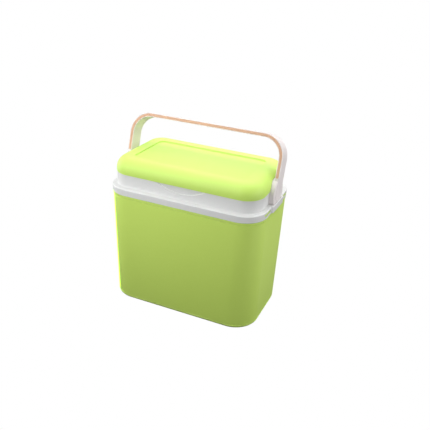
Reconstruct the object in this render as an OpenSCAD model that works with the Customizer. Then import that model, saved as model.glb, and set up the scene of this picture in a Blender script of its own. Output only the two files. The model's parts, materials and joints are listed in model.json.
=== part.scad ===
// Insulated picnic cool box: drafted outer tub, clipped-on rim collar, lift-off lid and swinging bow.
// Origin: centre of the base on the ground. X runs along the handle, front faces -Y, Z is up.

/* [Outer tub] */
// How much each side wall draws in from the collar to the foot
side_draft = 4.5; // [1:0.5:10]
// How much the front and back walls draw in from the collar to the foot
front_draft = 8; // [2:0.5:14]
// Corner radius at the foot
foot_r = 60; // [50:1:70]
// Rounding where the walls meet the base
foot_fillet = 8; // [4:1:12]
// Wall thickness of every plastic moulding
wall = 2.2; // [1.6:0.1:3]
// How deep the underside is dished inside the foot ring
foot_dish = 3; // [2:0.5:5]
// Width of the foot ring on the ground
foot_ring = 14; // [8:1:24]

/* [Rim collar] */
// Width of the collar across the plain sides
collar_w = 390; // [360:1:420]
// Depth of the collar, front to back
collar_d = 243; // [220:1:270]
// Corner radius of the collar
collar_r = 56; // [48:1:64]
// Height of the lower edge of the collar above the ground
collar_z = 286; // [220:1:340]
// Height of the collar skirt, up to the ledge
collar_h = 16; // [14:0.5:20]
// Height of the upright wall above the ledge
upstand_h = 31; // [28:0.5:36]
// Ledge width at the sides
side_ledge = 10.7; // [9:0.1:13]
// Ledge width at the front and back
front_ledge = 13.4; // [10:0.1:16]
// How far the tub wall sits inside the collar face
shell_reveal = 1.5; // [1:0.1:2.5]
// Height of the bead under the collar
bead_h = 2.4; // [1.5:0.1:4]
// Half width of the finger recess at the rim
recess_half_w = 62; // [40:1:80]
// Depth of the finger recess below the rim
recess_drop = 18; // [10:1:22]
// How far the finger recess is pressed in
recess_in = 2.8; // [2:0.1:4]

/* [Insulation] */
// Width of the rim, from the upright wall to the opening
rim_land = 13; // [11:0.5:18]
// Inner tub draft from rim to floor, each side
tub_draft = 4; // [2:0.5:8]
// Thickness of the base insulation
base_foam = 14; // [8:1:24]
// Corner radius of the opening
opening_r = 34; // [24:1:38]

/* [Lid] */
// Height of the lid cover
lid_h = 37.4; // [34:0.5:50]
// How far the lid overhangs the upright wall
lid_overhang = 1.5; // [0.8:0.1:2]
// Rounding of the top edge
lid_edge = 30; // [20:1:31]
// Depth of the tray in the lid
tray_depth = 4; // [1.5:0.1:5]
// Distance from the side of the lid to the tray
tray_side = 44; // [36:1:60]
// Distance from the front of the lid to the tray
tray_front = 35.5; // [35:0.5:50]
// Distance from the back of the lid to the tray
tray_back = 45.5; // [35:0.5:50]
// How deep the lid plug reaches into the opening
plug_depth = 22; // [12:1:30]

/* [Handle] */
// Width of the handle band
band_w = 38; // [30:1:40]
// Thickness of the handle band
band_t = 9.8; // [9:0.1:11]
// Clearance between the arms and the lid sides
arm_gap = 1.2; // [0.8:0.1:2]
// Clearance between the folded grip and the front of the lid
fold_clear = 10; // [6:0.5:20]
// Clearance between the folded band and the ledge
ledge_clear = 1; // [1:0.5:4]
// Outer corner radius of the bow
bow_r = 52; // [40:1:60]
// How far the bow leans back at rest, in degrees
bow_lean = 16.5; // [0:0.5:40]
// Floor of the pivot cup under the hub disc
cup_floor = 2.2; // [1.8:0.1:4]
// Width of the coloured grip strip
strip_w = 6.3; // [4:0.1:7]
// Depth of the channel that the strip sits in
strip_depth = 3; // [2:0.1:5]
// Outer lip beside the strip
strip_lip = 2.1; // [1:0.1:2.5]
// Radius of the pivot pin
pin_r = 5; // [4:0.1:5.2]

/* [Fits] */
// Radial running clearance of the pivot pins
pin_fit = 0.05; // [0.02:0.01:0.1]
// Gap between separate mouldings
part_gap = 0.4; // [0.3:0.05:0.6]
// Room around the hub discs
hub_gap = 0.8; // [0.6:0.1:1.5]

/* [Hidden] */

lime = "yellowgreen";
plastic_white = "whitesmoke";
foam = "lightyellow";
tan = "burlywood";
dark = "dimgray";

fine = 96;
fillet_step = 22.5;
sliver = 0.01;
over = 1;
hair = 0.1;

foot_w = collar_w - 2 * side_draft;
foot_d = collar_d - 2 * front_draft;
ledge_z = collar_z + collar_h;
rim_z = ledge_z + upstand_h;
upstand_w = collar_w - 2 * side_ledge;
upstand_d = collar_d - 2 * front_ledge;
upstand_r = collar_r - side_ledge;

shell_top_w = collar_w - 2 * shell_reveal;
shell_top_d = collar_d - 2 * shell_reveal;
shell_top_r = collar_r - shell_reveal;
shell_top = collar_z - part_gap;
neck_in = wall + part_gap;
neck_top = ledge_z - wall - part_gap;
bead_out = 1;
shoulder_z = shell_top - bead_h - wall - part_gap;
notch_in = 5;

tab_len = 34;
tab_up = 6;
tab_from_lobe = 4;
tab_h = 5;
tab_z = collar_z + tab_up;
tab_gap = 0.8;
tab_inset = 0.8;
tab_in = collar_w / 2 - neck_in - wall;

port_r = 9;
port_flange = 3;
port_cap_t = 1.5;

opening_w = upstand_w - 2 * rim_land;
opening_d = upstand_d - 2 * rim_land;
floor_z = foot_dish + wall + base_foam + wall;
tub_floor_w = opening_w - 2 * tub_draft;
tub_floor_d = opening_d - 2 * tub_draft;
lap = 6.5;
lap_step = 2.6;

lid_z = rim_z + part_gap;
lid_top = lid_z + lid_h;
lid_w = upstand_w + 2 * lid_overhang;
lid_d = upstand_d + 2 * lid_overhang;
lid_r = upstand_r + lid_overhang;
seal_h = 2.4;
seal_from = 2;
plug_gap = 2;
plug_w = opening_w - 2 * plug_gap;
plug_d = opening_d - 2 * plug_gap;
plug_r = opening_r - plug_gap;
pan_z = rim_z + seal_h;
tray_r = 12;
port_cap_r = 8;

cup_wall = 2;
hub_step = 1;
pocket_in = 3.1;
seal_w = rim_land - pocket_in - cup_wall - part_gap - seal_from;
pin_cover = 3;
pin_slack = 0.5;
lobe_corner = 8;
pivot_up = band_w / 2 + ledge_clear;
pivot_z = ledge_z + pivot_up;
hub_r = pivot_up + collar_h - cup_floor - hub_gap;
bow_reach = lid_d / 2 + fold_clear + band_t;
arm_in = lid_w / 2 + arm_gap;
arm_out = arm_in + band_t;
hub_out = arm_out - hub_step;
pocket_x = upstand_w / 2 - pocket_in;
hub_in = pocket_x + hub_gap;
cup_x = arm_out + part_gap;
lobe_x = cup_x + wall;
lobe_side = 3 * cup_wall;
lobe_half = hub_r + hub_gap + lobe_side;
tab_y = lobe_half + tab_from_lobe + tab_len / 2;
strip_clear = 0.5;
strip_from = hub_r + strip_clear;
strip_fit = 0.05;
pin_end = hub_out - pin_cover;
head_lip = 2.2;
head_r = pin_r + head_lip;
head_t = 2.5;
head_room = 4 * part_gap;
washer_r = 14;
washer_play = 0.3;

// Flat outline of a rectangle with round corners
module round_rect(w, d, r) {
    square([w - 2 * r, d], center = true);
    square([w, d - 2 * r], center = true);
    for (sx = [-1, 1], sy = [-1, 1])
        translate([sx * (w / 2 - r), sy * (d / 2 - r)])
            circle(r = r, $fn = fine);
}

// Upright slab with round corners, between two heights
module slab(w, d, r, z0, z1) {
    translate([0, 0, z0])
        linear_extrude(height = z1 - z0)
            round_rect(w, d, r);
}

// Upright ring of a given wall, open at the top and bottom
module ring(w, d, r, t, z0, z1) {
    difference() {
        slab(w, d, r, z0, z1);
        slab(w - 2 * t, d - 2 * t, r - t, z0 - over, z1 + over);
    }
}

// Four thin discs at the corners of a rectangle, the rib of a drafted block
module corner_discs(w, d, r, z) {
    for (sx = [-1, 1], sy = [-1, 1])
        translate([sx * (w / 2 - r), sy * (d / 2 - r), z])
            cylinder(r = r, h = sliver, $fn = fine);
}

// Block whose walls lean outwards from the lower to the upper size, with a rounded lower edge
module drafted(w0, d0, r0, z0, w1, d1, r1, z1, fillet) {
    hull() {
        for (a = [0:fillet_step:90]) {
            cut = fillet * (1 - sin(a));
            corner_discs(w0 - 2 * cut, d0 - 2 * cut, r0 - cut, z0 + fillet * (1 - cos(a)));
        }
        corner_discs(w1, d1, r1, z1 - sliver);
    }
}

// Profile of a slab end with rounded top corners
module dome_profile(w, h, edge) {
    translate([-w / 2, 0])
        square([w, h - edge]);
    translate([-w / 2 + edge, 0])
        square([w - 2 * edge, h]);
    for (s = [-1, 1])
        translate([s * (w / 2 - edge), h - edge])
            intersection() {
                circle(r = edge, $fn = fine);
                translate([-edge, 0])
                    square([2 * edge, edge]);
            }
}

// Block with round corners and a generously rounded top edge
module soft_block(w, d, r, z0, h, edge) {
    translate([0, 0, z0]) {
        rotate([90, 0, 0])
            linear_extrude(height = d - 2 * r, center = true)
                dome_profile(w, h, edge);
        rotate([90, 0, 90])
            linear_extrude(height = w - 2 * r, center = true)
                dome_profile(d, h, edge);
        for (sx = [-1, 1], sy = [-1, 1])
            translate([sx * (w / 2 - r), sy * (d / 2 - r), 0])
                rotate_extrude($fn = fine)
                    intersection() {
                        dome_profile(2 * r, h, edge);
                        square([r, h]);
                    }
    }
}

// Cylinder along X on the pivot axis, given from the middle outwards on one side
module pivot_disc(side, r, x0, x1) {
    translate([side * (x0 + x1) / 2, 0, pivot_z])
        rotate([0, 90, 0])
            cylinder(r = r, h = x1 - x0, center = true, $fn = fine);
}

// Outer surface of the tub wall, moved inwards by t
module tub_wall(t, z0) {
    drafted(foot_w - 2 * t, foot_d - 2 * t, foot_r - t, z0,
            shell_top_w - 2 * t, shell_top_d - 2 * t, shell_top_r - t, shell_top, foot_fillet);
}

// Room that the pivot lobe takes at one side, with a margin
module lobe_room(side, margin, x_from, z_from) {
    translate([side * (x_from + lobe_x + over) / 2, 0, (z_from - margin + rim_z) / 2])
        cube([lobe_x + over - x_from, 2 * (lobe_half + margin), rim_z - z_from + margin], center = true);
}

// Snap tabs of the shell, or their windows when grown by a gap
module tabs(gap, x_in, x_out) {
    for (side = [-1, 1], end = [-1, 1])
        translate([side * (x_in + x_out) / 2, end * tab_y, tab_z + tab_h / 2])
            cube([x_out - x_in, tab_len + 2 * gap, tab_h + 2 * gap], center = true);
}

// Drafted outer tub with its neck, bead, snap tabs and dished base
module outer_shell() {
    color(lime)
    difference() {
        union() {
            tub_wall(0, 0);
            slab(shell_top_w + 2 * bead_out, shell_top_d + 2 * bead_out, shell_top_r + bead_out,
                 shell_top - bead_h, shell_top);
            slab(collar_w - 2 * neck_in, collar_d - 2 * neck_in, collar_r - neck_in,
                 shell_top - sliver, neck_top);
            intersection() {
                tabs(0, tab_in, collar_w / 2);
                slab(collar_w - 2 * tab_inset, collar_d - 2 * tab_inset, collar_r - tab_inset,
                     shell_top, neck_top);
            }
        }
        difference() {
            tub_wall(wall, foot_dish + wall);
            slab(collar_w, collar_d, collar_r, shell_top - bead_h - wall, shell_top);
        }
        slab(collar_w - 2 * (neck_in + wall), collar_d - 2 * (neck_in + wall), collar_r - neck_in - wall,
             shell_top - bead_h - wall - over, neck_top + over);
        slab(foot_w - 2 * (foot_fillet + foot_ring), foot_d - 2 * (foot_fillet + foot_ring),
             foot_r - foot_fillet - foot_ring, -over, foot_dish);
        cylinder(r = port_r, h = foot_dish + 2 * wall, $fn = fine);
        for (side = [-1, 1])
            lobe_room(side, part_gap, pocket_x - notch_in, collar_z);
    }
}

// Plug that closes the foam port in the base
module base_port_plug() {
    color(lime)
    translate([0, 0, foot_dish]) {
        translate([0, 0, -port_cap_t])
            cylinder(r = port_r + port_flange, h = port_cap_t, $fn = fine);
        cylinder(r = port_r - hair, h = wall, $fn = fine);
    }
}

// Flat foam slab under the inner tub
module base_insulation() {
    side = 2 * (foot_fillet + wall + part_gap);
    color(foam)
    slab(foot_w - side, foot_d - side, foot_r - side / 2, foot_dish + wall + hair, floor_z - wall - hair);
}

// Foam jacket between the shell and the inner tub
module wall_insulation() {
    up_w = upstand_w - 2 * (wall + part_gap);
    up_d = upstand_d - 2 * (wall + part_gap);
    color(foam)
    difference() {
        union() {
            intersection() {
                tub_wall(wall + part_gap, foot_dish + wall + part_gap);
                slab(collar_w, collar_d, collar_r, floor_z - wall, shoulder_z);
            }
            slab(up_w, up_d, upstand_r - wall - part_gap, shoulder_z - sliver, rim_z - 3 * wall);
        }
        tub_body(part_gap, floor_z - 2 * wall, rim_z + over);
        recess_arc(cup_wall + part_gap, recess_in + wall + part_gap);
        for (side = [-1, 1])
            lobe_room(side, head_room, pocket_x - cup_wall - head_t - head_room, collar_z);
    }
}

// Drafted inner tub solid, grown outwards by t from the opening size plus its wall
module tub_body(t, z0, z1) {
    grow = 2 * (wall + t);
    drafted(tub_floor_w + grow, tub_floor_d + grow, opening_r - tub_draft + grow / 2, z0,
            opening_w + grow, opening_d + grow, opening_r + grow / 2, z1, foot_fillet);
}

// White food-grade inner tub with its flange
module inner_tub() {
    flange_w = upstand_w - 2 * lap - 2 * part_gap;
    flange_d = upstand_d - 2 * lap - 2 * part_gap;
    color(plastic_white)
    difference() {
        union() {
            tub_body(0, floor_z - wall, rim_z - wall);
            slab(flange_w, flange_d, upstand_r - lap - part_gap, rim_z - wall - sliver, rim_z);
            slab(flange_w + 2 * lap_step, flange_d + 2 * lap_step, upstand_r - lap - part_gap + lap_step,
                 rim_z - wall / 2, rim_z);
        }
        tub_body(-wall, floor_z, rim_z + over);
    }
}

// Collar that clips over the shell: skirt, ledge, upright wall, rim and the two pivot cups
module rim_collar() {
    color(plastic_white)
    difference() {
        union() {
            ring(collar_w, collar_d, collar_r, wall, collar_z, ledge_z);
            difference() {
                slab(collar_w, collar_d, collar_r, ledge_z - wall, ledge_z);
                slab(upstand_w - wall, upstand_d - wall, upstand_r - wall / 2,
                     ledge_z - wall - over, ledge_z + over);
            }
            ring(upstand_w, upstand_d, upstand_r, wall, ledge_z - wall, rim_z);
            ring(upstand_w, upstand_d, upstand_r, lap, rim_z - wall, rim_z);
            for (side = [-1, 1]) {
                pivot_lobe(side);
                intersection() {
                    pivot_disc(side, hub_r + hub_gap + cup_wall, pocket_x - cup_wall, upstand_w / 2);
                    slab(upstand_w, upstand_d, upstand_r, collar_z, rim_z);
                }
            }
            intersection() {
                recess_arc(cup_wall, recess_in + wall);
                slab(upstand_w, upstand_d, upstand_r, ledge_z, rim_z);
            }
        }
        recess_arc(0, recess_in);
        slab(upstand_w - 2 * (lap - lap_step), upstand_d - 2 * (lap - lap_step), upstand_r - lap + lap_step,
             rim_z - wall / 2, rim_z + over);
        tabs(tab_gap, tab_in, collar_w / 2 + over);
        for (side = [-1, 1]) {
            pivot_disc(side, hub_r + hub_gap, pocket_x, cup_x);
            pivot_disc(side, pin_r, pocket_x - 2 * cup_wall, pocket_x + over);
        }
    }
}

// Rounded block outside the collar that holds the lower half of a hub disc
module pivot_lobe(side) {
    intersection() {
        slab(2 * lobe_x, 2 * lobe_half, lobe_corner, collar_z, ledge_z);
        translate([side * (pocket_x - cup_wall + lobe_x) / 2, 0, ledge_z])
            cube([lobe_x - pocket_x + cup_wall, collar_d, 2 * collar_d], center = true);
    }
}

// Half-moon finger recess in the front of the upright wall, open at the rim, grown by a margin
module recess_arc(margin, depth) {
    arc_r = (recess_half_w * recess_half_w + recess_drop * recess_drop) / (2 * recess_drop);
    translate([0, -upstand_d / 2 + depth, rim_z - recess_drop + arc_r])
        rotate([90, 0, 0])
            intersection() {
                cylinder(r = arc_r + margin, h = depth + over, $fn = 4 * fine);
                translate([0, -arc_r, 0])
                    cube([2 * arc_r, 2 * recess_drop + 2 * over, 4 * depth], center = true);
            }
}

// Pivot pin: head inside the rim, shank through the pocket wall into the hub
module pivot_pin(side) {
    color(plastic_white) {
        pivot_disc(side, head_r, pocket_x - cup_wall - head_t, pocket_x - cup_wall);
        pivot_disc(side, pin_r, pocket_x - cup_wall - sliver, pin_end);
    }
}
module pivot_pin_left() {
    pivot_pin(-1);
}
module pivot_pin_right() {
    pivot_pin(1);
}

// Friction washer between the pocket wall and the hub
module hub_washer(side) {
    color(dark)
    difference() {
        pivot_disc(side, washer_r, pocket_x + hair / 2, hub_in - hair / 2);
        pivot_disc(side, pin_r + washer_play, pocket_x - over, hub_in + over);
    }
}
module hub_washer_left() {
    hub_washer(-1);
}
module hub_washer_right() {
    hub_washer(1);
}

// Outline of the tray in the lid, moved outwards by a margin
module tray(margin, z0, z1) {
    translate([0, (tray_front - tray_back) / 2, 0])
        slab(lid_w - 2 * tray_side + 2 * margin, lid_d - tray_front - tray_back + 2 * margin,
             tray_r + margin, z0, z1);
}

// Green lid cover with its tray and the side pockets for the hubs
module lid_cover() {
    color(lime)
    difference() {
        union() {
            difference() {
                soft_block(lid_w, lid_d, lid_r, lid_z, lid_h, lid_edge);
                soft_block(lid_w - 2 * wall, lid_d - 2 * wall, lid_r - wall, lid_z - over,
                           lid_h + over - wall, lid_edge - wall);
            }
            tray(wall, lid_top - tray_depth - wall, lid_top - wall / 2);
            for (side = [-1, 1])
                intersection() {
                    pivot_disc(side, hub_r + hub_gap + cup_wall, pocket_x - cup_wall, lid_w / 2);
                    soft_block(lid_w, lid_d, lid_r, lid_z, lid_h, lid_edge);
                }
        }
        tray(0, lid_top - tray_depth, lid_top + over);
        for (side = [-1, 1])
            pivot_disc(side, hub_r + hub_gap, pocket_x, lid_w);
    }
}

// Foam inside the lid and its plug
module lid_insulation() {
    in = wall + part_gap;
    color(foam)
    difference() {
        union() {
            intersection() {
                soft_block(lid_w - 2 * in, lid_d - 2 * in, lid_r - in, lid_z, lid_h - in, lid_edge - in);
                slab(lid_w, lid_d, lid_r, pan_z + wall + hair, lid_top);
            }
            slab(plug_w - 2 * in, plug_d - 2 * in, plug_r - in, rim_z - plug_depth + in,
                 pan_z + 2 * wall);
        }
        tray(wall + part_gap, lid_top - tray_depth - wall - part_gap, lid_top);
        for (side = [-1, 1])
            pivot_disc(side, hub_r + hub_gap + cup_wall + part_gap, pocket_x - cup_wall - part_gap, lid_w);
    }
}

// White inner pan of the lid, with the plug that drops into the opening
module lid_inner_pan() {
    in = wall + hair;
    color(plastic_white)
    difference() {
        union() {
            slab(lid_w - 2 * in, lid_d - 2 * in, lid_r - in, pan_z, pan_z + wall);
            slab(plug_w, plug_d, plug_r, rim_z - plug_depth, pan_z + wall);
        }
        slab(plug_w - 2 * wall, plug_d - 2 * wall, plug_r - wall, rim_z - plug_depth + wall,
             pan_z + wall + over);
        translate([0, 0, rim_z - plug_depth - over])
            cylinder(r = port_cap_r, h = wall + 2 * over, $fn = fine);
        for (side = [-1, 1])
            pivot_disc(side, hub_r + hub_gap + cup_wall + hair, pocket_x - cup_wall - hair, lid_w);
    }
}

// Cap on the foam port in the middle of the lid plug
module lid_port_plug() {
    color(plastic_white)
    translate([0, 0, rim_z - plug_depth]) {
        translate([0, 0, -port_cap_t])
            cylinder(r = port_cap_r + port_flange, h = port_cap_t, $fn = fine);
        cylinder(r = port_cap_r - hair, h = wall, $fn = fine);
    }
}

// Soft seal between the inner pan and the rim
module lid_seal() {
    grow = 2 * seal_from;
    color(dark)
    ring(opening_w + grow + 2 * seal_w, opening_d + grow + 2 * seal_w, opening_r + grow / 2 + seal_w,
         seal_w, rim_z, pan_z);
}

// Bow outline in the XZ plane, standing on the pivot line, moved inwards by t
module bow_outline(t) {
    half = arm_out - t;
    top = bow_reach - t;
    r = bow_r - t;
    translate([-half, 0])
        square([2 * half, top - r]);
    translate([-half + r, 0])
        square([2 * half - 2 * r, top]);
    for (s = [-1, 1])
        translate([s * (half - r), top - r])
            circle(r = r, $fn = fine);
}

// Band that follows the bow between two depths below its outer face
module band(t0, t1, from_h, y0, y1) {
    translate([0, y1, pivot_z])
        rotate([90, 0, 0])
            linear_extrude(height = y1 - y0)
                difference() {
                    bow_outline(t0);
                    bow_outline(t1);
                    translate([-arm_out - over, -over])
                        square([2 * arm_out + 2 * over, from_h + over]);
                }
}

// Turns a piece that is drawn upright to the resting lean of the bow
module leaned() {
    translate([0, 0, pivot_z])
        rotate([-bow_lean, 0, 0])
            translate([0, 0, -pivot_z])
                children();
}

// White bow with hub discs, pin sockets and two channels for the grip strips
module handle_bow() {
    edge = band_w / 2;
    color(plastic_white)
    leaned()
    difference() {
        union() {
            band(0, band_t, 0, -edge, edge);
            for (side = [-1, 1]) {
                pivot_disc(side, hub_r, hub_in, hub_out);
                pivot_disc(side, edge, arm_in, arm_out);
            }
        }
        band(strip_lip, strip_lip + strip_w, strip_from, -edge - over, -edge + strip_depth);
        band(strip_lip, strip_lip + strip_w, strip_from, edge - strip_depth, edge + over);
        for (side = [-1, 1])
            pivot_disc(side, pin_r + pin_fit, hub_in - over, pin_end + pin_slack);
    }
}

// Coloured strip that fills a channel on one edge of the bow
module grip_strip(y0, y1) {
    color(tan)
    leaned()
        band(strip_lip + strip_fit, strip_lip + strip_w - strip_fit, strip_from + strip_fit, y0, y1);
}
module grip_strip_front() {
    grip_strip(-band_w / 2, -band_w / 2 + strip_depth - strip_fit);
}
module grip_strip_rear() {
    grip_strip(band_w / 2 - strip_depth + strip_fit, band_w / 2);
}

outer_shell();
base_port_plug();
base_insulation();
wall_insulation();
inner_tub();
rim_collar();
pivot_pin_left();
pivot_pin_right();
hub_washer_left();
hub_washer_right();
lid_cover();
lid_insulation();
lid_inner_pan();
lid_port_plug();
lid_seal();
handle_bow();
grip_strip_front();
grip_strip_rear();
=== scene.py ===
import bpy
import bmesh
import json
import math
from mathutils import Matrix, Vector


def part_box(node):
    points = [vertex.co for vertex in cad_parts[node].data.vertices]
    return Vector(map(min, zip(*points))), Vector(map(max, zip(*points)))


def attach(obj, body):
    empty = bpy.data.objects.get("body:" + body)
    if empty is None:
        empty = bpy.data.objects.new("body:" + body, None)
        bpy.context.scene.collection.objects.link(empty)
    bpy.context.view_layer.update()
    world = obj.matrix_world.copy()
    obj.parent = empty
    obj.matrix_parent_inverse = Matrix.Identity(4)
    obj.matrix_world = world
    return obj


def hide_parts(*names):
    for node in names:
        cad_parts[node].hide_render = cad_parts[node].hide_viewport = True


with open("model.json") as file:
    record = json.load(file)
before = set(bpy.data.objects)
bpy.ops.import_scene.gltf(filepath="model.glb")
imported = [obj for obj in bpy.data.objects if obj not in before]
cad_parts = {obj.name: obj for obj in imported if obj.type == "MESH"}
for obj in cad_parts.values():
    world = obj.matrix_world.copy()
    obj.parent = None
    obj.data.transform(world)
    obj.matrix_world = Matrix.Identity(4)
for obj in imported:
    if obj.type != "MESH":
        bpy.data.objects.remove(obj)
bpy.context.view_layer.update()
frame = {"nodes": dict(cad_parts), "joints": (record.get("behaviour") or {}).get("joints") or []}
mm = 0.001

joints = {j["name"]: j for j in frame["joints"]}
pivot = Vector(joints["bow_swing"]["pos_m"])
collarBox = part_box("rim_collar")
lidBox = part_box("lid_cover")
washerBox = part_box("hub_washer_right")
washerGap = 0.05 * mm


studio = {
    "azimuth": 22.52, "elevation": 25.53, "roll": 3.15, "distance": 1.4005,
    "target": (0.0365, 0.0151, 0.2218), "lens": 47.33, "sensor": 36,
    "skyLight": 0.25, "skySeen": 1.0,
    "floorBounce": (0.08, 0.08, 0.08), "floorSeen": 1.0, "floorHalf": 8, "floorDrop": 0.5 * mm,
    "lights": {
        "topBox": {"at": (0.0, 0.45, 1.12), "aim": (0, 0, 0.3),
                   "size": 1.4, "power": 15.8, "spread": 180},
        "frontBox": {"at": (-0.36, -0.72, 0.60), "aim": (0, -0.1, 0.42),
                     "size": 0.7, "power": 2.3, "spread": 120},
        "rightBox": {"at": (0.85, 0.02, 0.36), "aim": (0.15, 0, 0.28),
                     "size": 0.9, "power": 2.35, "spread": 120},
        "leftBox": {"at": (-0.9, 0.02, 0.32), "aim": (-0.15, 0, 0.18),
                    "size": 0.6, "power": 2.9, "spread": 180},
        "edgeBox": {"at": (-0.10, -0.54, 1.10), "aim": (0, -0.1, 0.3),
                    "size": 0.35, "power": 0.8, "spread": 120},
    },
}


def aimed(place, target):
    back = (Vector(place) - Vector(target)).normalized()
    turn = back.to_track_quat("Z", "Y").to_matrix().to_4x4()
    return Matrix.Translation(place) @ turn


def makeCamera(s):
    az, el, roll = (math.radians(s[k]) for k in ("azimuth", "elevation", "roll"))
    back = Vector((math.sin(az) * math.cos(el), -math.cos(az) * math.cos(el), math.sin(el)))
    data = bpy.data.cameras.new("studioCamera")
    data.lens = s["lens"]
    data.sensor_width = s["sensor"]
    data.dof.use_dof = False
    camera = bpy.data.objects.new("studioCamera", data)
    bpy.context.scene.collection.objects.link(camera)
    right = Vector((math.cos(az), math.sin(az), 0))
    up = back.cross(right)
    leanRight = right * math.cos(roll) + up * math.sin(roll)
    leanUp = up * math.cos(roll) - right * math.sin(roll)
    turn = Matrix((leanRight, leanUp, back)).transposed().to_4x4()
    camera.matrix_world = Matrix.Translation(Vector(s["target"]) + back * s["distance"]) @ turn
    bpy.context.scene.camera = camera


def makeLights(s):
    for name, spec in s["lights"].items():
        data = bpy.data.lights.new(name, "AREA")
        data.shape = "SQUARE"
        data.size = spec["size"]
        data.energy = spec["power"]
        data.spread = math.radians(spec["spread"])
        lamp = bpy.data.objects.new(name, data)
        lamp.matrix_world = aimed(spec["at"], spec["aim"])
        bpy.context.scene.collection.objects.link(lamp)


# The camera sees plain white, while the object gets a softer light from the same surface
def splitForCamera(tree, out, lit, seen):
    mix = tree.nodes.new("ShaderNodeMixShader")
    path = tree.nodes.new("ShaderNodeLightPath")
    tree.links.new(path.outputs["Is Camera Ray"], mix.inputs["Fac"])
    tree.links.new(lit.outputs[0], mix.inputs[1])
    tree.links.new(seen.outputs[0], mix.inputs[2])
    tree.links.new(mix.outputs[0], out.inputs["Surface"])


def makeWorld(s):
    world = bpy.data.worlds.new("studioWorld")
    world.use_nodes = True
    tree = world.node_tree
    tree.nodes.clear()
    out = tree.nodes.new("ShaderNodeOutputWorld")
    glow = tree.nodes.new("ShaderNodeBackground")
    seen = tree.nodes.new("ShaderNodeBackground")
    for node, strength in ((glow, s["skyLight"]), (seen, s["skySeen"])):
        node.inputs["Color"].default_value = (1, 1, 1, 1)
        node.inputs["Strength"].default_value = strength
    splitForCamera(tree, out, glow, seen)
    bpy.context.scene.world = world


def makeFloor(s):
    half = s["floorHalf"]
    corners = [(-half, -half, 0), (half, -half, 0), (half, half, 0), (-half, half, 0)]
    mesh = bpy.data.meshes.new("studioFloor")
    mesh.from_pydata(corners, [], [(0, 1, 2, 3)])
    floor = bpy.data.objects.new("studioFloor", mesh)
    floor.location.z = -s["floorDrop"]
    bpy.context.scene.collection.objects.link(floor)
    mat = bpy.data.materials.new("paleFloor")
    mat.use_nodes = True
    tree = mat.node_tree
    tree.nodes.clear()
    out = tree.nodes.new("ShaderNodeOutputMaterial")
    matt = tree.nodes.new("ShaderNodeBsdfDiffuse")
    seen = tree.nodes.new("ShaderNodeEmission")
    matt.inputs["Color"].default_value = (*s["floorBounce"], 1)
    seen.inputs["Strength"].default_value = s["floorSeen"]
    splitForCamera(tree, out, matt, seen)
    mesh.materials.append(mat)


makeCamera(studio)
makeLights(studio)
makeWorld(studio)
makeFloor(studio)
bpy.context.scene.view_settings.view_transform = "Standard"
bpy.context.scene.view_settings.look = "None"
print("studio ready")


def newGroup(name, inputs, outputs):
    group = bpy.data.node_groups.new(name, "ShaderNodeTree")
    for label, value in inputs.items():
        kind = "NodeSocketColor" if isinstance(value, tuple) else "NodeSocketFloat"
        sock = group.interface.new_socket(label, in_out="INPUT", socket_type=kind)
        sock.default_value = (*value, 1) if isinstance(value, tuple) else value
    for label, kind in outputs.items():
        group.interface.new_socket(label, in_out="OUTPUT", socket_type=kind)
    inner = group.nodes.new("NodeGroupInput")
    outer = group.nodes.new("NodeGroupOutput")
    return group, inner, outer


def mathNode(tree, kind, a, b=None, clamp=False):
    node = tree.nodes.new("ShaderNodeMath")
    node.operation = kind
    node.use_clamp = clamp
    for i, value in enumerate((a, b)):
        if value is None:
            continue
        if isinstance(value, (int, float)):
            node.inputs[i].default_value = value
        else:
            tree.links.new(value, node.inputs[i])
    return node.outputs[0]


def mixColour(tree, blend, fac, a, b):
    node = tree.nodes.new("ShaderNodeMix")
    node.data_type = "RGBA"
    node.blend_type = blend
    for sock, value in ((node.inputs[0], fac), (node.inputs[6], a), (node.inputs[7], b)):
        if isinstance(value, (int, float)):
            sock.default_value = value
        elif isinstance(value, tuple):
            sock.default_value = (*value[:3], 1)
        else:
            tree.links.new(value, sock)
    return node.outputs[2]


def noiseNode(tree, vector, scale, detail, rough):
    node = tree.nodes.new("ShaderNodeTexNoise")
    node.inputs["Detail"].default_value = detail
    node.inputs["Roughness"].default_value = rough
    if isinstance(scale, (int, float)):
        node.inputs["Scale"].default_value = scale
    else:
        tree.links.new(scale, node.inputs["Scale"])
    tree.links.new(vector, node.inputs["Vector"])
    return node.outputs["Fac"]


def objectPlace(tree):
    return tree.nodes.new("ShaderNodeTexCoord").outputs["Object"]


# Fine spark-eroded skin of a moulding, with the faint waviness of a shrunk wall
def makeSkinGroup():
    group, inner, outer = newGroup(
        "mouldedSkin",
        {"Grain Scale": 900.0, "Grain Depth": 0.5, "Wave Depth": 0.5},
        {"Height": "NodeSocketFloat", "Speckle": "NodeSocketFloat"},
    )
    place = objectPlace(group)
    grain = noiseNode(group, place, scale=inner.outputs["Grain Scale"], detail=3, rough=0.6)
    wave = noiseNode(group, place, scale=9, detail=1, rough=0.4)
    speckle = noiseNode(group, place, scale=260, detail=4, rough=0.65)
    fineBump = mathNode(group, "MULTIPLY", grain, inner.outputs["Grain Depth"])
    slowBump = mathNode(group, "MULTIPLY", wave, inner.outputs["Wave Depth"])
    group.links.new(mathNode(group, "ADD", fineBump, slowBump), outer.inputs["Height"])
    group.links.new(speckle, outer.inputs["Speckle"])
    return group


edgeLook = {"samples": 4, "gain": 5.0, "patchLift": 0.25, "hollowReach": 4 * mm,
            "paintedShade": (0.45, 0.42, 0.36)}
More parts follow.
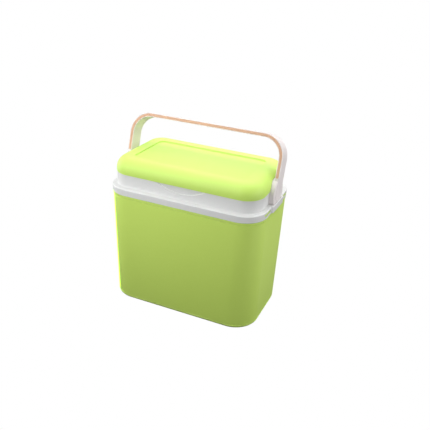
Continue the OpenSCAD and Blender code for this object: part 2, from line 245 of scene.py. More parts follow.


# Painted highlight along edges, found where a small rounding would turn the normal, and painted shade in
# corners and gaps
def makeEdgeGroup():
    group, inner, outer = newGroup(
        "edgeWear",
        {"Colour": (0.5, 0.5, 0.5), "Worn Colour": (0.9, 0.9, 0.9), "Wear": 0.3, "Grime": 0.2,
         "Width": 0.0012},
        {"Colour": "NodeSocketColor"},
    )
    geo = group.nodes.new("ShaderNodeNewGeometry")
    soft = group.nodes.new("ShaderNodeBevel")
    soft.samples = edgeLook["samples"]
    group.links.new(inner.outputs["Width"], soft.inputs["Radius"])
    dot = group.nodes.new("ShaderNodeVectorMath")
    dot.operation = "DOT_PRODUCT"
    group.links.new(geo.outputs["Normal"], dot.inputs[0])
    group.links.new(soft.outputs["Normal"], dot.inputs[1])
    # Painted highlight: edges that a small rounding would turn are lightened, broken up by noise
    turned = mathNode(group, "SUBTRACT", 1.0, dot.outputs["Value"])
    edge = mathNode(group, "MULTIPLY", turned, edgeLook["gain"], True)
    patch = noiseNode(group, objectPlace(group), scale=55, detail=4, rough=0.6)
    lifted = mathNode(group, "ADD", patch, edgeLook["patchLift"])
    broken = mathNode(group, "MULTIPLY", edge, lifted, True)
    mask = mathNode(group, "MULTIPLY", broken, inner.outputs["Wear"], True)
    # Painted shade: ambient occlusion darkens corners, narrow gaps and the foot where it meets the floor
    hollow = group.nodes.new("ShaderNodeAmbientOcclusion")
    hollow.samples = edgeLook["samples"]
    hollow.inputs["Distance"].default_value = edgeLook["hollowReach"]
    closed = mathNode(group, "SUBTRACT", 1.0, hollow.outputs["AO"], True)
    paintedShade = mathNode(group, "MULTIPLY", closed, inner.outputs["Grime"], True)
    edgeLightColour = mixColour(group, "MIX", mask, inner.outputs["Colour"], inner.outputs["Worn Colour"])
    shadedColour = mixColour(group, "MULTIPLY", paintedShade, edgeLightColour, edgeLook["paintedShade"])
    group.links.new(shadedColour, outer.inputs["Colour"])
    return group


# Slow drift of colour in the plastic and a few dull handling marks
def makeToneGroup():
    group, inner, outer = newGroup(
        "plasticTone",
        {"Colour": (0.5, 0.5, 0.5), "Shade Colour": (0.4, 0.4, 0.4), "Drift": 0.3,
         "Roughness": 0.35, "Smudge": 0.08},
        {"Colour": "NodeSocketColor", "Roughness": "NodeSocketFloat"},
    )
    place = objectPlace(group)
    slow = noiseNode(group, place, scale=6, detail=2, rough=0.5)
    rub = noiseNode(group, place, scale=38, detail=5, rough=0.7)
    drift = mathNode(group, "MULTIPLY", slow, inner.outputs["Drift"], True)
    tone = mixColour(group, "MIX", drift, inner.outputs["Colour"], inner.outputs["Shade Colour"])
    group.links.new(tone, outer.inputs["Colour"])
    around = mathNode(group, "SUBTRACT", rub, 0.5)
    swing = mathNode(group, "MULTIPLY", around, inner.outputs["Smudge"])
    rough = mathNode(group, "ADD", inner.outputs["Roughness"], swing, True)
    group.links.new(rough, outer.inputs["Roughness"])
    return group


skinGroup = makeSkinGroup()
edgeGroup = makeEdgeGroup()
toneGroup = makeToneGroup()


# What every finish has unless it says otherwise
plastic = {"sheen": 0.1, "sheenTint": (1, 1, 1), "coat": 0.0, "smudge": 0.10, "cornerShade": 0.15, "edgeLight": 0.6,
           "drift": 0.9, "wave": 1.5, "speckle": 0.10, "bumpHeight": 0.6 * mm, "ior": 1.48,
           "sheenRough": 0.35, "coatRough": 0.25}
# Painted light in these finishes: the edge colour and amount paint highlights along rounded edges, the
# corner amount paints shade into corners, gaps and the foot by the floor, glow paints rim light on turning
# corners, and the bow's even emission lifts its shaded hub
finishes = {
    "limeShell": {"colour": (0.62, 0.83, 0.165), "shade": (0.585, 0.79, 0.145), "edgeLightColour": (0.84, 1.0, 0.26),
                  "rough": 0.42, "grain": 1100, "grainDepth": 0.5, "bump": 0.10,
                  "sheen": 0.14, "sheenTint": (1.0, 0.92, 0.80),
                  "glow": (0.42, 1.0, 0.02), "glowPower": 4.5, "cornerShade": 0.55, "edgeLight": 1.0},
    "limeLid": {"colour": (0.598, 0.838, 0.162), "shade": (0.562, 0.80, 0.144), "edgeLightColour": (0.76, 0.95, 0.34),
                "rough": 0.52, "grain": 1300, "grainDepth": 0.35, "bump": 0.08,
                "sheen": 0.08, "sheenTint": (0.62, 1.0, 0.16),
                "glow": (0.30, 1.0, 0.02), "glowPower": 0.3},
    "whiteRim": {"colour": (0.735, 0.74, 0.735), "shade": (0.72, 0.725, 0.72), "edgeLightColour": (0.90, 0.90, 0.89),
                 "rough": 0.30, "grain": 1200, "grainDepth": 0.3, "bump": 0.03,
                 "coat": 0.1, "smudge": 0.03},
    "whiteTub": {"colour": (0.80, 0.80, 0.79), "shade": (0.77, 0.77, 0.755), "edgeLightColour": (0.86, 0.86, 0.85),
                 "rough": 0.45, "grain": 800, "grainDepth": 0.4, "bump": 0.08, "sheen": 0.0},
    "whiteBow": {"colour": (0.69, 0.64, 0.635), "shade": (0.665, 0.615, 0.61), "edgeLightColour": (0.82, 0.80, 0.79),
                 "rough": 0.36, "grain": 1200, "grainDepth": 0.3, "bump": 0.06,
                 "sheenTint": (1, 0.97, 0.97), "coat": 0.05,
                 "paintedFill": (1.0, 0.95, 0.945), "paintedFillPower": 0.12},
    "tanStrip": {"colour": (0.72, 0.435, 0.295), "shade": (0.685, 0.40, 0.265), "edgeLightColour": (0.88, 0.64, 0.50),
                 "rough": 0.62, "grain": 1500, "grainDepth": 0.8, "bump": 0.18,
                 "sheen": 0.15, "sheenTint": (1, 0.85, 0.75)},
    "foamCore": {"colour": (0.80, 0.74, 0.52), "shade": (0.70, 0.62, 0.40), "edgeLightColour": (0.86, 0.82, 0.64),
                 "rough": 0.85, "grain": 420, "grainDepth": 1.2, "bump": 0.5,
                 "sheen": 0.2, "sheenTint": (1, 1, 0.9)},
    "softSeal": {"colour": (0.10, 0.10, 0.10), "shade": (0.07, 0.07, 0.07), "edgeLightColour": (0.20, 0.20, 0.20),
                 "rough": 0.6, "grain": 900, "grainDepth": 0.8, "bump": 0.2},
}


def groupNode(tree, group, **values):
    node = tree.nodes.new("ShaderNodeGroup")
    node.node_tree = group
    for label, value in values.items():
        sock = node.inputs[label.replace("_", " ")]
        sock.default_value = (*value, 1) if isinstance(value, tuple) else value
    return node


def makeFinish(name, f):
    mat = bpy.data.materials.new(name)
    mat.use_nodes = True
    tree = mat.node_tree
    shader = tree.nodes["Principled BSDF"]
    tone = groupNode(tree, toneGroup, Colour=f["colour"], Shade_Colour=f["shade"], Drift=f["drift"],
                     Roughness=f["rough"], Smudge=f["smudge"])
    edge = groupNode(tree, edgeGroup, Worn_Colour=f["edgeLightColour"], Wear=f["edgeLight"], Grime=f["cornerShade"])
    skin = groupNode(tree, skinGroup, Grain_Scale=f["grain"], Grain_Depth=f["grainDepth"],
                     Wave_Depth=f["wave"])
    tree.links.new(tone.outputs["Colour"], edge.inputs["Colour"])
    bump = tree.nodes.new("ShaderNodeBump")
    bump.inputs["Strength"].default_value = f["bump"]
    bump.inputs["Distance"].default_value = f["bumpHeight"]
    tree.links.new(skin.outputs["Height"], bump.inputs["Height"])
    speckled = mixColour(tree, "SOFT_LIGHT", f["speckle"], edge.outputs["Colour"], skin.outputs["Speckle"])
    tree.links.new(speckled, shader.inputs["Base Color"])
    tree.links.new(tone.outputs["Roughness"], shader.inputs["Roughness"])
    tree.links.new(bump.outputs["Normal"], shader.inputs["Normal"])
    shader.inputs["IOR"].default_value = f["ior"]
    shader.inputs["Sheen Weight"].default_value = f["sheen"]
    shader.inputs["Sheen Roughness"].default_value = f["sheenRough"]
    shader.inputs["Sheen Tint"].default_value = (*f["sheenTint"], 1)
    shader.inputs["Coat Weight"].default_value = f["coat"]
    shader.inputs["Coat Roughness"].default_value = f["coatRough"]
    if "glow" in f:
        addPaintedRimLight(tree, shader, f)
    # Painted light: an even emission over the whole part lifts shaded faces such as the bow's hub rim
    if "paintedFill" in f:
        shader.inputs["Emission Color"].default_value = (*f["paintedFill"], 1)
        shader.inputs["Emission Strength"].default_value = f["paintedFillPower"]
    return mat


def smoothMask(tree, value, low, high, top=1.0):
    ramp = tree.nodes.new("ShaderNodeMapRange")
    ramp.interpolation_type = "SMOOTHSTEP"
    ramp.inputs["From Min"].default_value = low
    ramp.inputs["From Max"].default_value = high
    ramp.inputs["To Max"].default_value = top
    tree.links.new(value, ramp.inputs["Value"])
    return ramp.outputs["Result"]


paintedRimLight = {"outline": (0.70, 0.99), "flat": (0.945, 0.985), "upward": (-0.4, -0.08)}


# Painted rim light: emission on the tinted wall where a round corner turns away, standing in
# for light from behind. Flat faces and faces that look down have none
def addPaintedRimLight(tree, shader, f):
    facing = tree.nodes.new("ShaderNodeLayerWeight")
    facing.inputs["Blend"].default_value = 0.5
    outline = smoothMask(tree, facing.outputs["Facing"], *paintedRimLight["outline"], f["glowPower"])
    geo = tree.nodes.new("ShaderNodeNewGeometry")
    axes = tree.nodes.new("ShaderNodeSeparateXYZ")
    tree.links.new(geo.outputs["Normal"], axes.inputs[0])
    square = mathNode(tree, "MAXIMUM", mathNode(tree, "ABSOLUTE", axes.outputs["X"]),
                      mathNode(tree, "ABSOLUTE", axes.outputs["Y"]))
    turning = mathNode(tree, "SUBTRACT", 1.0, smoothMask(tree, square, *paintedRimLight["flat"]))
    upward = smoothMask(tree, axes.outputs["Z"], *paintedRimLight["upward"])
    glow = mathNode(tree, "MULTIPLY", outline, mathNode(tree, "MULTIPLY", turning, upward))
    tree.links.new(glow, shader.inputs["Emission Strength"])
    shader.inputs["Emission Color"].default_value = (*f["glow"], 1)


materials = {name: makeFinish(name, {**plastic, **f}) for name, f in finishes.items()}
print("finishes ready:", len(materials))


# Degrees between two faces up to which they shade as one, before and after edges are rounded
angles = {"sharp": 35, "bevel": 40}
# How far the middle of a quarter round lies inside its corner, as a share of its radius
roundMiddle = 0.3


def roundedOutline(halfW, halfD, r, cornerSteps, cy=0.0):
    points = []
    for sx, sy, start in ((1, 1, 0), (-1, 1, 90), (-1, -1, 180), (1, -1, 270)):
        for i in range(cornerSteps + 1):
            a = math.radians(start + 90 * i / cornerSteps)
            points.append((sx * (halfW - r) + r * math.cos(a), cy + sy * (halfD - r) + r * math.sin(a)))
    return points


# A profile corner given as (s, z, radius) becomes a short arc
def softProfile(corners, steps=4, closed=False):
    out = []
    count = len(corners)
    for i, (s, z, radius) in enumerate(corners):
        here = Vector((s, z))
        if radius <= 0 or (not closed and i in (0, count - 1)):
            out.append((s, z))
            continue
        before = (Vector(corners[i - 1][:2]) - here).normalized()
        after = (Vector(corners[(i + 1) % count][:2]) - here).normalized()
        half = before.angle(after) / 2
        reach = radius / math.tan(half)
        centre = here + (before + after).normalized() * (radius / math.sin(half))
        first, last = here + before * reach - centre, here + after * reach - centre
        sweepAngle = first.angle_signed(last)
        for k in range(steps + 1):
            turned = first.copy()
            turned.rotate(Matrix.Rotation(-sweepAngle * k / steps, 2))
            out.append(tuple(centre + turned))
    return out


def finishMesh(name, verts, faces, material, sharpAngle=angles["sharp"]):
    mesh = bpy.data.meshes.new(name)
    mesh.from_pydata(verts, [], faces)
    piece = bpy.data.objects.new(name, mesh)
    bpy.context.scene.collection.objects.link(piece)
    bm = bmesh.new()
    bm.from_mesh(mesh)
    bmesh.ops.remove_doubles(bm, verts=bm.verts, dist=1e-6)
    bmesh.ops.recalc_face_normals(bm, faces=bm.faces)
    bm.to_mesh(mesh)
    bm.free()
    mesh.materials.append(materials[material])
    smoothByAngle(piece, sharpAngle)
    return piece


def smoothByAngle(piece, degrees):
    bm = bmesh.new()
    bm.from_mesh(piece.data)
    limit = math.radians(degrees)
    for face in bm.faces:
        face.smooth = True
    for edge in bm.edges:
        edge.smooth = len(edge.link_faces) == 2 and edge.calc_face_angle(0) < limit
    bm.to_mesh(piece.data)
    bm.free()


# Skins a stack of outlines; a ring closes on itself, a block gets a cap at each end
def loft(name, rings, material, loop=False, sharpAngle=angles["sharp"]):
    verts = [p for ring in rings for p in ring]
    n = len(rings[0])
    faces = []
    spans = len(rings) if loop else len(rings) - 1
    for k in range(spans):
        low, high = k * n, ((k + 1) % len(rings)) * n
        for i in range(n):
            j = (i + 1) % n
            faces.append((low + i, low + j, high + j, high + i))
    if not loop:
        faces.append(tuple(range(n))[::-1])
        faces.append(tuple(range((len(rings) - 1) * n, len(rings) * n)))
    return finishMesh(name, verts, faces, material, sharpAngle)


def level(outline, z):
    return [(x, y, z) for x, y in outline]


def cutWith(piece, cutter, kind="DIFFERENCE"):
    mod = piece.modifiers.new("cut", "BOOLEAN")
    mod.operation = kind
    mod.solver = "EXACT"
    mod.object = cutter
    applyModifiers(piece)
    bpy.data.objects.remove(cutter)
    return piece


def applyModifiers(piece):
    graph = bpy.context.evaluated_depsgraph_get()
    graph.update()
    made = bpy.data.meshes.new_from_object(piece.evaluated_get(graph))
    old = piece.data
    piece.modifiers.clear()
    piece.data = made
    bpy.data.meshes.remove(old)


def bevelled(piece, width, angle):
    mod = piece.modifiers.new("soft", "BEVEL")
    mod.width = width
    mod.segments = 2
    mod.limit_method = "ANGLE"
    mod.angle_limit = math.radians(angle)
    mod.harden_normals = False
    mod.use_clamp_overlap = True
    applyModifiers(piece)
    smoothByAngle(piece, angles["bevel"])
    return piece


# A disc on the pivot's line, from x0 to x1 on one side, with its rims rounded by edge
def discAlongX(name, side, x0, x1, r, material, edge=0.0, steps=96):
    cut = edge * roundMiddle
    rows = [(x0, r - edge), (x0 + cut, r - cut), (x0 + edge, r),
            (x1 - edge, r), (x1 - cut, r - cut), (x1, r - edge)]
    verts, faces = [], []
    for x, radius in rows:
        for i in range(steps):
            a = math.tau * i / steps
            verts.append((side * x, pivot.y + radius * math.cos(a), pivot.z + radius * math.sin(a)))
    for k in range(len(rows) - 1):
        for i in range(steps):
            j = (i + 1) % steps
            faces.append((k * steps + i, k * steps + j, (k + 1) * steps + j, (k + 1) * steps + i))
    faces.append(tuple(range(steps)))
    faces.append(tuple(range((len(rows) - 1) * steps, len(rows) * steps))[::-1])
    return finishMesh(name, verts, faces, material)


def block(name, xs, ys, zs, material):
    verts = [(x, y, z) for z in sorted(zs) for y in sorted(ys) for x in sorted(xs)]
    faces = [(0, 2, 3, 1), (4, 5, 7, 6), (0, 1, 5, 4), (2, 6, 7, 3), (0, 4, 6, 2), (1, 3, 7, 5)]
    return finishMesh(name, verts, faces, material)


# Broad flat faces keep their own normal, so a fillet beside them doesn't tint them
def place(piece, body, slotName, *nodes):
    keepFlat = piece.modifiers.new("flatNormals", "WEIGHTED_NORMAL")
    keepFlat.keep_sharp = True
    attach(piece, body)
    if nodes:
        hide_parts(*nodes)
    return piece


plan = {"collarHalfW": 195 * mm, "collarHalfD": collarBox[1].y, "collarR": 56 * mm,
        "collarZ": 286 * mm, "ledgeZ": 302 * mm, "rimZ": collarBox[1].z,
        "sideLedge": 10.7 * mm, "frontLedge": 13.4 * mm, "wall": 2.2 * mm, "play": 0.4 * mm, "steps": 24}

tub = {"footHalfW": 190.5 * mm, "footHalfD": 113.5 * mm, "footR": 60 * mm, "reveal": 1.5 * mm,
       "top": 285.6 * mm, "footRounding": 8 * mm, "footEdge": 7 * mm, "footStep": 0.6 * mm,
       "footGroove": 0.7 * mm, "grooveZ": 9.5 * mm, "grooveSoft": 0.8 * mm, "grooveRise": 0.9 * mm,
       "beadHeight": 4.2 * mm, "beadOut": 1.3 * mm, "beadRise": 0.2 * mm, "beadGroove": 1.2 * mm,
       "beadGrooveLow": 2.1 * mm, "beadGrooveFrom": 2.9 * mm, "crisp": 0.3 * mm,
       "dish": 3 * mm, "dishSlope": 1.5 * mm, "footRing": 14 * mm,
       "notchIn": 5.4 * mm, "notchOut": 2 * mm, "notchLift": 0.02 * mm}


def tubOutline(s, z):
    up = max(0, min(1, z / tub["top"]))
    halfW = tub["footHalfW"] + (plan["collarHalfW"] - tub["reveal"] - tub["footHalfW"]) * up
    halfD = tub["footHalfD"] + (plan["collarHalfD"] - tub["reveal"] - tub["footHalfD"]) * up
    r = tub["footR"] + (plan["collarR"] - tub["reveal"] - tub["footR"]) * up
    return level(roundedOutline(halfW - s, halfD - s, r - s, plan["steps"]), z)


# The tub's wall as (inset, height, rounding), from the dished underside out, up, over the neck and in
def tubProfile():
    wall, top, crisp = plan["wall"], tub["top"], tub["crisp"]
    neckIn = wall + plan["play"] - tub["reveal"]
    neckTop = plan["ledgeZ"] - wall - plan["play"]
    ring = tub["footRounding"] + tub["footRing"]
    dish, slope = tub["dish"], tub["dishSlope"]
    groove, soft, gz = tub["footGroove"], tub["grooveSoft"], tub["grooveZ"]
    bead, beadOut, beadGroove = top - tub["beadHeight"], tub["beadOut"], tub["beadGroove"]
    return [
        (ring + slope, dish, 0),
        (ring, dish, 1 * mm),
        (ring - 1 * mm, 0, 1.2 * mm),
        (tub["footStep"], 0, tub["footEdge"]),
        (0, gz - 2 * soft, soft),
        (groove, gz - soft, crisp),
        (groove, gz + crisp, crisp),
        (0, gz + crisp + tub["grooveRise"], soft),
        (0, bead - tub["beadGrooveFrom"], crisp),
        (beadGroove, bead - tub["beadGrooveLow"], crisp),
        (beadGroove, bead - crisp, crisp),
        (-beadOut, bead + tub["beadRise"], soft),
        (-beadOut, top, 0.9 * mm),
        (neckIn, top, 0.4 * mm),
        (neckIn, neckTop, 0.5 * mm),
        (neckIn + wall, neckTop, 0.5 * mm),
        (neckIn + wall, bead - 2 * wall, 1 * mm),
        (wall, bead - 3 * wall, 1 * mm),
        (wall, dish + wall, 6 * mm),
        (ring + slope, dish + wall, 0),
    ]


def makeTub():
    rings = [tubOutline(s, z) for s, z in softProfile(tubProfile())]
    piece = loft("limeTub", rings, "limeShell")
    reach = lobe["half"] + plan["play"]
    for side in (-1, 1):
        xs = (side * (washerBox[0].x - tub["notchIn"]), side * (collarBox[1].x + tub["notchOut"]))
        cutWith(piece, block("notch", xs, (-reach, reach), (tub["top"] + tub["notchLift"], plan["rimZ"]),
                             "limeShell"))
    smoothByAngle(piece, angles["sharp"])
    return place(piece, "box", "lime_shell", "outer_shell")


lobe = {"half": 39.8 * mm, "corner": 8 * mm, "hubR": 33 * mm, "hubGap": 0.8 * mm, "cupWall": 2 * mm,
        "pocketX": washerBox[0].x - washerGap, "cupX": 197.2 * mm, "edge": 1.2 * mm,
        "inward": 12 * mm, "cornerSteps": 8, "trim": 60 * mm, "trimHalf": 80 * mm, "trimLift": 5 * mm}
lobe["pocketR"] = lobe["hubR"] + lobe["hubGap"]
lobe["cupR"] = lobe["pocketR"] + lobe["cupWall"]
collar = {"lap": 6.5 * mm, "step": 3.9 * mm, "ledgeRise": 0.2 * mm, "bevel": 0.35 * mm,
          "overHalfW": 300 * mm, "overHalfD": 200 * mm, "overHeight": 60 * mm}
windows = {"length": 34 * mm, "middle": 60.8 * mm, "low": 292 * mm, "height": 5 * mm, "gap": 0.8 * mm,
           "from": 190.2 * mm, "inset": 0.8 * mm, "bevel": 0.6 * mm, "past": 3 * mm, "tabPast": 2 * mm}
recess = {"halfW": 62 * mm, "drop": 18 * mm, "depth": 2.8 * mm, "slope": 1.6 * mm, "bite": 0.3 * mm,
          "ahead": 2 * mm, "past": 4 * mm, "lift": 3 * mm, "steps": 48}


# The ledge is wider at the front than at the sides, so an inset grows faster there
def collarOutline(s, z):
    front = s * plan["frontLedge"] / plan["sideLedge"]
    if s > plan["sideLedge"]:
        front = s + plan["frontLedge"] - plan["sideLedge"]
    return level(roundedOutline(plan["collarHalfW"] - s, plan["collarHalfD"] - front,
                                plan["collarR"] - s, plan["steps"]), z)


# The collar's wall as (inset, height, rounding), up the outside and back down the inside
def collarProfile():
    wall, side = plan["wall"], plan["sideLedge"]
    low, ledge, rim = plan["collarZ"], plan["ledgeZ"], plan["rimZ"]
    lap, step = collar["lap"], collar["step"]
    return [
        (0, low, 0.5 * mm),
        (0, ledge, 2.2 * mm),
        (side, ledge + collar["ledgeRise"], 1.8 * mm),
        (side, rim, 0.8 * mm),
        (side + step, rim, 0.3 * mm),
        (side + step, rim - wall / 2, 0.2 * mm),
        (side + lap, rim - wall / 2, 0.3 * mm),
        (side + lap, rim - wall, 0.3 * mm),
        (side + wall, rim - wall, 0.5 * mm),
        (side + wall, ledge - wall, 0.5 * mm),
        (wall, ledge - wall, 0.8 * mm),
        (wall, low, 0.4 * mm),
    ]


def makeCollar():
    rings = [collarOutline(s, z) for s, z in softProfile(collarProfile(), closed=True)]
    piece = loft("whiteCollar", rings, "whiteRim", loop=True)
    addLobes(piece)
    cutRecess(piece)
    cutWindows(piece)
    bevelled(piece, collar["bevel"], angles["bevel"])
    return place(piece, "box", "white_outer", "rim_collar")


# Keeps what is joined to the collar below the rim, where the lid stands
def cutAboveRim(piece):
    halfW, halfD, rim = collar["overHalfW"], collar["overHalfD"], plan["rimZ"]
    over = block("over", (-halfW, halfW), (-halfD, halfD), (rim, rim + collar["overHeight"]), "whiteRim")
    return cutWith(piece, over)


# The straight-sided bulge of the skirt around a hub, with its upper and lower edges rounded
def lobeBlock(side):
    outer, low, ledge = collarBox[1].x, plan["collarZ"], plan["ledgeZ"]
    x0 = lobe["pocketX"] - lobe["cupWall"]
    half = (outer - x0) / 2 + lobe["inward"]
    centre = (x0 + outer) / 2 - lobe["inward"]
    e = lobe["edge"]
    cut = e * roundMiddle
    rows = [(low, e), (low + cut, cut), (low + e, 0), (ledge - e, 0), (ledge - cut, cut), (ledge, e)]
    rings = []
    for z, s in rows:
        flat = roundedOutline(half - s, lobe["half"] - s, lobe["corner"] - s, lobe["cornerSteps"])
        rings.append([(side * (centre + x), y, z) for x, y in flat])
    piece = loft("lobe", rings, "whiteRim")
    trim = block("trim", (side * (x0 - lobe["trim"]), side * x0), (-lobe["trimHalf"], lobe["trimHalf"]),
                 (low - lobe["trimLift"], ledge + lobe["trimLift"]), "whiteRim")
    return cutWith(piece, trim)


def addLobes(piece):
    for side in (-1, 1):
        cutWith(piece, lobeBlock(side), "UNION")
        boss = discAlongX("boss", side, lobe["pocketX"] - lobe["cupWall"],
                          plan["collarHalfW"] - plan["sideLedge"], lobe["cupR"], "whiteRim")
        cutWith(piece, cutAboveRim(boss), "UNION")
    for side in (-1, 1):
        cutWith(piece, discAlongX("cup", side, lobe["pocketX"], lobe["cupX"], lobe["pocketR"], "whiteRim"))


# A shallow arc hung from the rim, extruded from y0 to y1; flare widens its y0 end
def arcCutter(name, extra, y0, y1, flare=0.0):
    halfW, drop, steps = recess["halfW"], recess["drop"], recess["steps"]
    r = (halfW ** 2 + drop ** 2) / (2 * drop)
    centreZ = plan["rimZ"] - drop + r
    radius = r + extra
    reach = math.asin((halfW + recess["past"]) / radius)
    turns = [-reach + 2 * reach * i / steps for i in range(steps + 1)]
    top = plan["rimZ"] + recess["lift"]
    flat = [(radius * math.sin(a), centreZ - radius * math.cos(a)) for a in turns]
    flat = [(x, z) for x, z in flat if z < top]
    flat = [(flat[0][0], top)] + flat + [(flat[-1][0], top)]
    n = len(flat)
    grow = 1 + flare / radius
    wide = [(x * grow, centreZ + (z - centreZ) * grow if z < top else z) for x, z in flat]
    verts = [(x, y0, z) for x, z in wide] + [(x, y1, z) for x, z in flat]
    faces = [tuple(range(n)), tuple(range(n, 2 * n))[::-1]]
    faces += [(i, (i + 1) % n, n + (i + 1) % n, n + i) for i in range(n)]
    return finishMesh(name, verts, faces, "whiteRim")


def cutRecess(piece):
    front = -(plan["collarHalfD"] - plan["frontLedge"])
    depth, wall, slope, ahead = recess["depth"], plan["wall"], recess["slope"], recess["ahead"]
    back = arcCutter("back", wall, front + recess["bite"], front + depth + wall)
    cutWith(piece, cutAboveRim(back), "UNION")
    cutWith(piece, arcCutter("scoop", -slope, front - ahead, front + depth, slope * (depth + ahead) / depth))


def eachWindow():
    return [(side, end * windows["middle"]) for side in (-1, 1) for end in (-1, 1)]


def windowBlock(name, side, middle, past, gap, material):
    halfLength = windows["length"] / 2 + gap
    return block(name, (side * windows["from"], side * (plan["collarHalfW"] + past)),
                 (middle - halfLength, middle + halfLength),
                 (windows["low"] - gap, windows["low"] + windows["height"] + gap), material)


def cutWindows(piece):
    for side, middle in eachWindow():
        cutWith(piece, windowBlock("window", side, middle, windows["past"], windows["gap"], "whiteRim"))


def makeTabs():
    parts = []
    for side, middle in eachWindow():
        tab = windowBlock("tab", side, middle, windows["tabPast"], 0, "limeShell")
        rings = [collarOutline(windows["inset"], z) for z in (plan["collarZ"], plan["ledgeZ"])]
        cutWith(tab, loft("room", rings, "limeShell"), "INTERSECT")
        parts.append(bevelled(tab, windows["bevel"], angles["sharp"]))
    return place(joined("snapTabs", parts), "box", "lime_shell")


def joined(name, parts):
    bm = bmesh.new()
    for part in parts:
        bm.from_mesh(part.data)
    material = parts[0].data.materials[0]
    mesh = bpy.data.meshes.new(name)
    bm.to_mesh(mesh)
    bm.free()
    for part in parts:
        bpy.data.objects.remove(part)
    mesh.materials.append(material)
    piece = bpy.data.objects.new(name, mesh)
    bpy.context.scene.collection.objects.link(piece)
    return piece


makeTub()
makeCollar()
makeTabs()
print("tub and collar made")


lid = {"r": 46.8 * mm, "edge": 30 * mm, "edgeSteps": 14, "wall": 2.2 * mm, "traySide": 44 * mm,
       "trayFront": 35.5 * mm, "trayBack": 45.5 * mm, "trayR": 12 * mm, "trayDepth": 4 * mm,
       "bevel": 0.5 * mm, "bevelAngle": 45, "bossPast": 4 * mm, "pocketPast": 6 * mm,
       "hollowDrop": 2 * mm, "hollowLip": 0.01 * mm, "hollowOut": 1 * mm, "hollowIn": 3 * mm,
       # The open edge as (inset, height)
       "lip": [(0.8 * mm, 0), (0.25 * mm, 0.2 * mm), (0, 0.8 * mm)],
       # The tray's edge as (outset, depth under the top), and its foot as (inset, height over the floor)
       "trayEdge": [(1.6 * mm, 0), (0.9 * mm, 0.06 * mm), (0.4 * mm, 0.3 * mm), (0.1 * mm, 0.8 * mm)],
       "trayFoot": [(0.3 * mm, 0.9 * mm), (0.7 * mm, 0.35 * mm), (1.3 * mm, 0.06 * mm), (2.2 * mm, 0)]}


def lidRing(s, z):
    return level(roundedOutline(lidBox[1].x - s, lidBox[1].y - s, lid["r"] - s, plan["steps"]), z)


def trayRing(grow, z):
    halfW = lidBox[1].x - lid["traySide"] + grow
    halfD = lidBox[1].y - (lid["trayFront"] + lid["trayBack"]) / 2 + grow
    cy = (lid["trayFront"] - lid["trayBack"]) / 2
    return level(roundedOutline(halfW, halfD, lid["trayR"] + grow, plan["steps"], cy), z)


# Domed skin of the lid at a depth t under the outer face, from the open edge to the middle of the tray
def lidSkin(t, low):
    top, edge, deep = lidBox[1].z, lid["edge"], lid["trayDepth"]
    if t == 0:
        rings = [lidRing(s, low + up) for s, up in lid["lip"]]
        rows = lid["trayEdge"] + [(-s, deep - up) for s, up in lid["trayFoot"]]
    else:
        rings = [lidRing(t, low + lid["hollowLip"])]
        rows = [(t + lid["hollowOut"], t), (t, deep + t), (t - lid["hollowIn"], deep + t)]
    rings.append(lidRing(t, top - edge))
    for i in range(1, lid["edgeSteps"] + 1):
        a = math.pi / 2 * i / lid["edgeSteps"]
        rings.append(lidRing(t + (edge - t) * (1 - math.cos(a)), top - edge + (edge - t) * math.sin(a)))
    return rings + [trayRing(grow, top - down) for grow, down in rows]


def makeLid():
    piece = loft("limeLid", lidSkin(0, lidBox[0].z), "limeLid")
    hollow = loft("hollow", lidSkin(lid["wall"], lidBox[0].z - lid["hollowDrop"]), "limeLid")
    for side in (-1, 1):
        cutWith(hollow, discAlongX("boss", side, lobe["pocketX"] - lobe["cupWall"],
                                   lidBox[1].x + lid["bossPast"], lobe["cupR"], "limeLid"))
    cutWith(piece, hollow)
    for side in (-1, 1):
        cutWith(piece, discAlongX("pocket", side, lobe["pocketX"], lidBox[1].x + lid["pocketPast"],
                                  lobe["pocketR"], "limeLid"))
    bevelled(piece, lid["bevel"], lid["bevelAngle"])
    return place(piece, "lid", "lime_lid", "lid_cover")


makeLid()
print("lid made")


bow = {"lean": 16.5, "reach": 129.4 * mm, "outHalf": 196.8 * mm, "thick": 9.8 * mm, "width": 38 * mm,
       "corner": 52 * mm, "cornerSteps": 20, "footSteps": 8, "tip": 0.02, "edge": 1.3 * mm,
       "innerEdge": 0.5 * mm, "stripFrom": 33.5 * mm, "stripStep": 0.02 * mm, "stripWidth": 6.3 * mm,
       "stripDepth": 3 * mm, "stripLip": 2.1 * mm, "lipSoft": 0.25 * mm, "stripGap": 0.05 * mm,
       "crown": 0.35 * mm, "crownSteps": 8, "hubOut": 195.8 * mm, "hubEdge": 1.6 * mm,
       "bevel": 0.5 * mm, "bevelAngle": 50, "sharpAngle": 40}


# Spots along the bow as (x, height over the pivot, angle, width share), round at the foot of each arm
def bowPath():
    outHalf, reach, r, steps = bow["outHalf"], bow["reach"], bow["corner"], bow["cornerSteps"]
    mid = bow["thick"] / 2
    half = bow["width"] / 2
    spots = []
    for i in range(bow["footSteps"] + 1):
        down = half * math.cos(math.pi / 2 * i / bow["footSteps"])
        share = math.sqrt(max(0, 1 - (down / half) ** 2)) or bow["tip"]
        spots.append((-outHalf + mid, -down, 0.0, share))
    for h in (bow["stripFrom"] - bow["stripStep"], bow["stripFrom"] + bow["stripStep"], reach - r):
        spots.append((-outHalf + mid, h, 0.0, 1.0))
    for i in range(1, steps + 1):
        a = math.pi / 2 * i / steps
        spots.append((-outHalf + r - (r - mid) * math.cos(a), reach - r + (r - mid) * math.sin(a), a, 1.0))
    mirrored = [(-x, h, math.pi - a, w) for x, h, a, w in reversed(spots)]
    return spots + mirrored


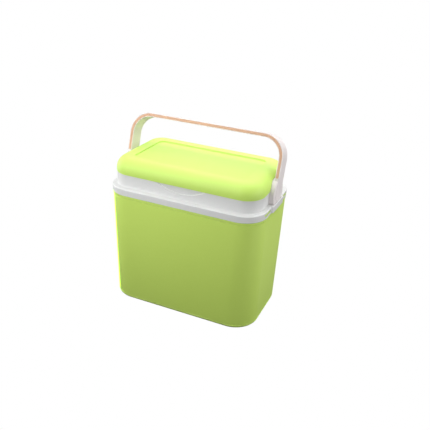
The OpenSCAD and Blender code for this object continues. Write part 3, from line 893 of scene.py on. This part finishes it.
# Carries a flat section (out, across) along the bow; out is away from the inside of the loop
def sweep(name, section, spots, material):
    rings = []
    for x, h, a, w in spots:
        out = Vector((-math.cos(a), 0, math.sin(a)))
        at = Vector((x, 0, pivot.z + h))
        rings.append([tuple(at + out * o + Vector((0, y * w, 0))) for o, y in section(h)])
    return loft(name, rings, material, sharpAngle=bow["sharpAngle"])


# Insets of a rounded corner from its two faces
def quarterArc(r, steps=4):
    turns = [math.pi / 2 * i / steps for i in range(steps + 1)]
    return [(r * (1 - math.cos(a)), r * (1 - math.sin(a))) for a in turns]


def bandSection(h):
    t, half, soft = bow["thick"] / 2, bow["width"] / 2, bow["lipSoft"]
    depth = bow["stripDepth"] if h > bow["stripFrom"] else 0.0
    lipOut = t - bow["stripLip"]
    lipIn = lipOut - bow["stripWidth"]
    face = [(t - a, half - b) for a, b in quarterArc(bow["edge"])]
    face += [(lipOut + soft, half), (lipOut, half - min(depth, soft)), (lipOut, half - depth),
             (lipIn, half - depth), (lipIn, half - min(depth, soft)), (lipIn - soft, half)]
    face += [(-t + a, half - b) for a, b in reversed(quarterArc(bow["innerEdge"]))]
    return face + [(o, -y) for o, y in reversed(face)]


def stripSection(sign):
    half, gap, steps = bow["width"] / 2, bow["stripGap"], bow["crownSteps"]
    lipOut = bow["thick"] / 2 - bow["stripLip"] - gap
    wide = bow["stripWidth"] - 2 * gap
    deep = bow["stripDepth"] - gap

    def section(h):
        flat = []
        for i in range(steps + 1):
            u = -1 + 2 * i / steps
            flat.append((lipOut - wide * i / steps, half - bow["lipSoft"] + bow["crown"] * (1 - u * u)))
        flat += [(lipOut - wide, half - deep), (lipOut, half - deep)]
        return [(o, sign * y) for o, y in flat]
    return section


def leaned(piece):
    turn = Matrix.Rotation(-math.radians(bow["lean"]), 4, "X")
    piece.data.transform(Matrix.Translation(pivot) @ turn @ Matrix.Translation(-pivot))
    return piece


def makeBow():
    piece = sweep("whiteBow", bandSection, bowPath(), "whiteBow")
    hubIn = washerBox[1].x + washerGap
    for side in (-1, 1):
        hub = discAlongX("hub", side, hubIn, bow["hubOut"], lobe["hubR"], "whiteBow", bow["hubEdge"])
        cutWith(piece, hub, "UNION")
    bevelled(piece, bow["bevel"], bow["bevelAngle"])
    leaned(piece)
    return place(piece, "bow", "white_bow", "handle_bow")


def makeStrip(name, sign, node):
    spots = [s for s in bowPath() if s[1] > bow["stripFrom"]]
    piece = sweep(name, stripSection(sign), spots, "tanStrip")
    leaned(piece)
    return place(piece, "bow", "tan_strip", node)


makeBow()
makeStrip("frontStrip", -1, "grip_strip_front")
makeStrip("rearStrip", 1, "grip_strip_rear")
print("bow made")


# Pieces that keep their CAD shape
kept = {"base_port_plug": "limeShell", "base_insulation": "foamCore", "wall_insulation": "foamCore",
        "inner_tub": "whiteTub", "pivot_pin_left": "whiteTub", "pivot_pin_right": "whiteTub",
        "hub_washer_left": "softSeal", "hub_washer_right": "softSeal", "lid_insulation": "foamCore",
        "lid_inner_pan": "whiteTub", "lid_port_plug": "whiteTub", "lid_seal": "softSeal"}
for node, finish in kept.items():
    piece = frame["nodes"][node]
    piece.data.materials.clear()
    piece.data.materials.append(materials[finish])
print("kept pieces finished:", len(kept))
